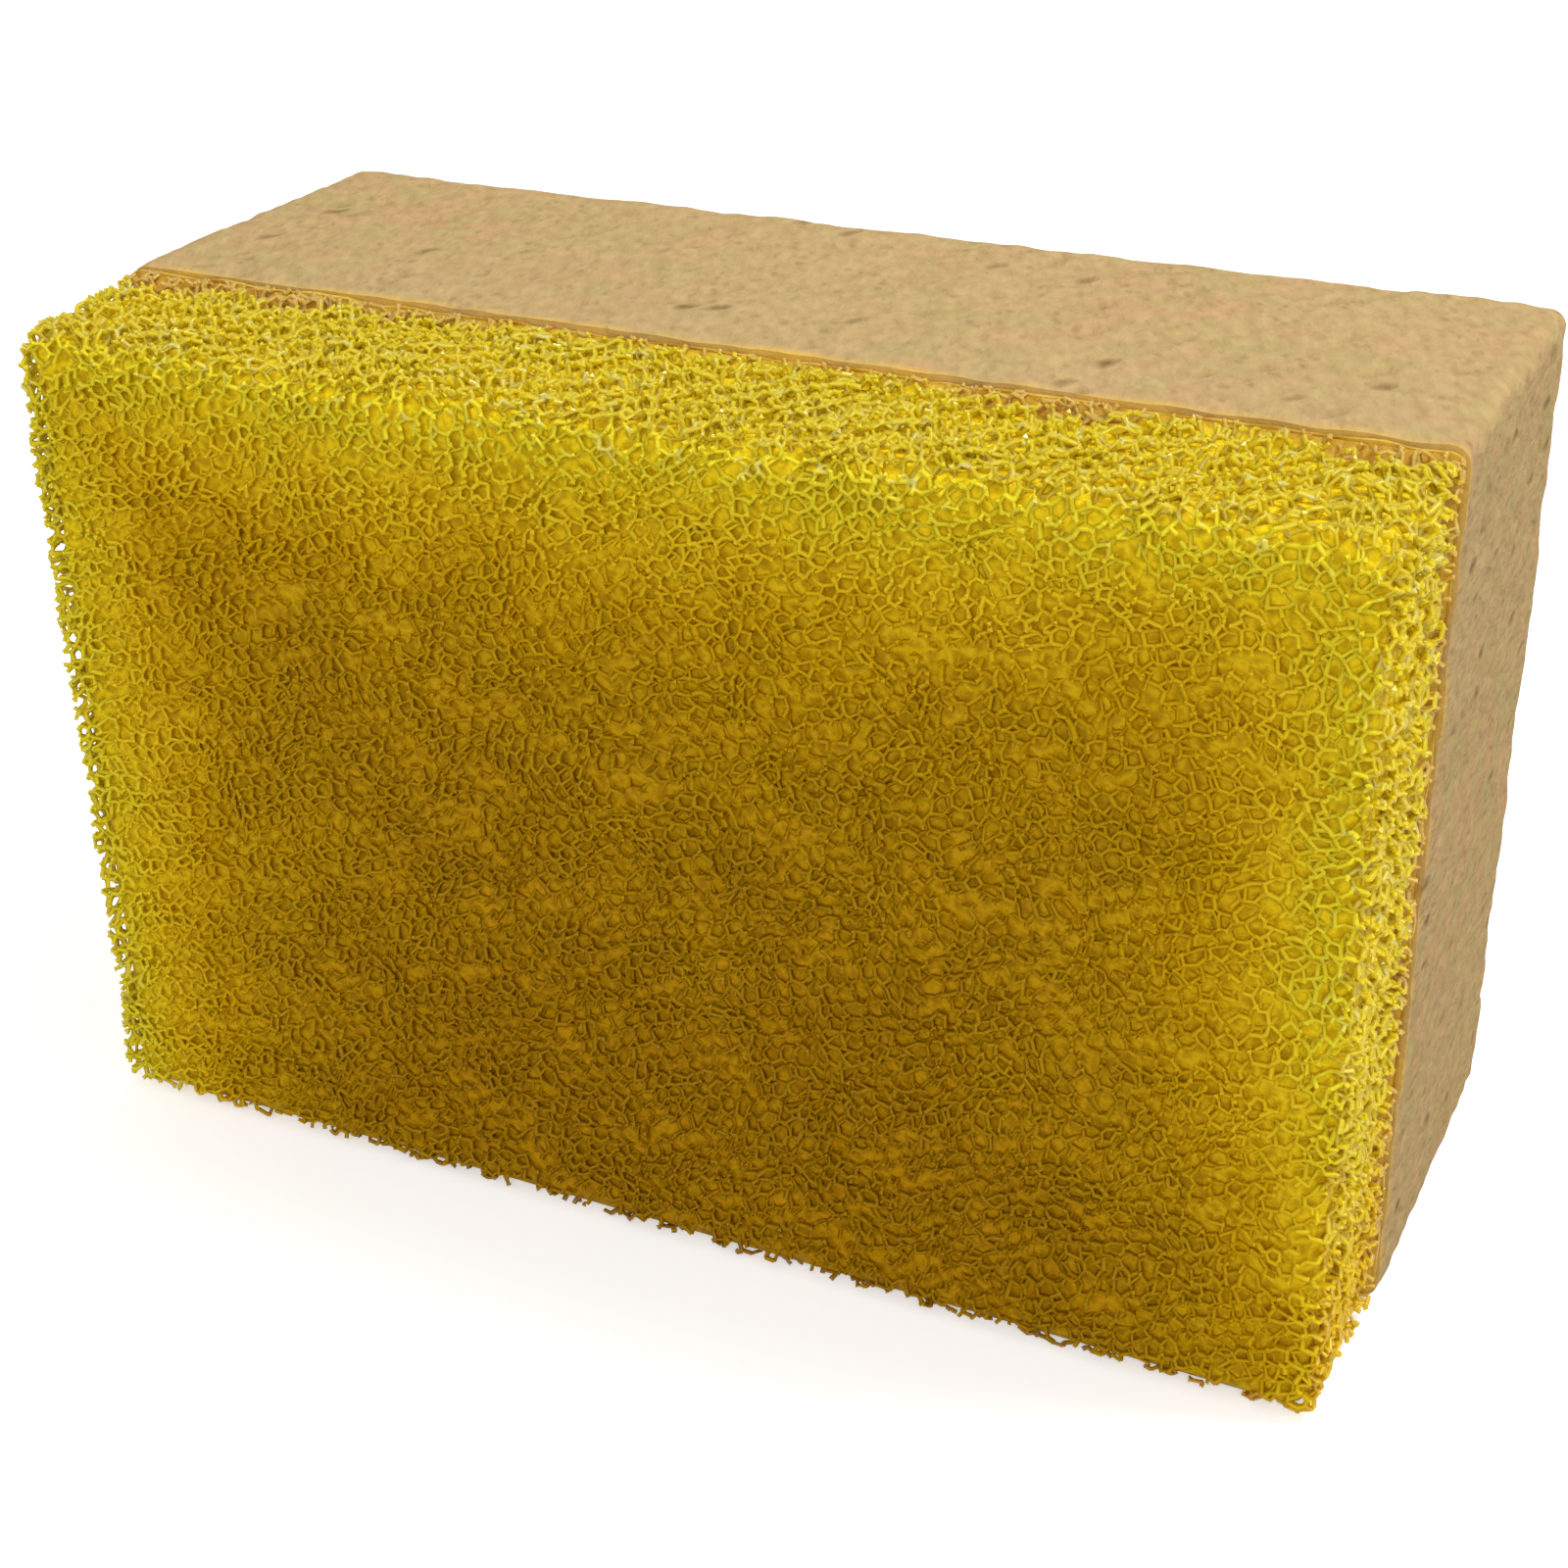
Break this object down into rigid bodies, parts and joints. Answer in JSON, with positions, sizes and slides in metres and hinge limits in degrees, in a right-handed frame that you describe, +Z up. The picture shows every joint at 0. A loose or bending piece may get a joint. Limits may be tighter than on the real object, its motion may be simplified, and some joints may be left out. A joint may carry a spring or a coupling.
{
  "type": "cleaning sponge",
  "caption": "Cleaning sponge: a fine tan foam block with a coarse, open-celled yellow scrub layer glued to its front face.",
  "frame": {"origin": "middle of the base, on the surface that the sponge stands on", "axes": "+Z up, +X along the sponge's length, +Y from the scrub layer to the foam block"},
  "size_m": [0.12, 0.055, 0.077],
  "materials": {
    "fine_foam": "matte, fine open pores, soft to the touch",
    "glue": "amber glue soaked into both foams",
    "scrub_foam": "coarse open cells with slightly glossy threads"
  },
  "bodies": {
    "root": {"foam_block": "fine_foam", "bond_film": "glue", "scrub_layer": "scrub_foam"}
  },
  "joints": []
}
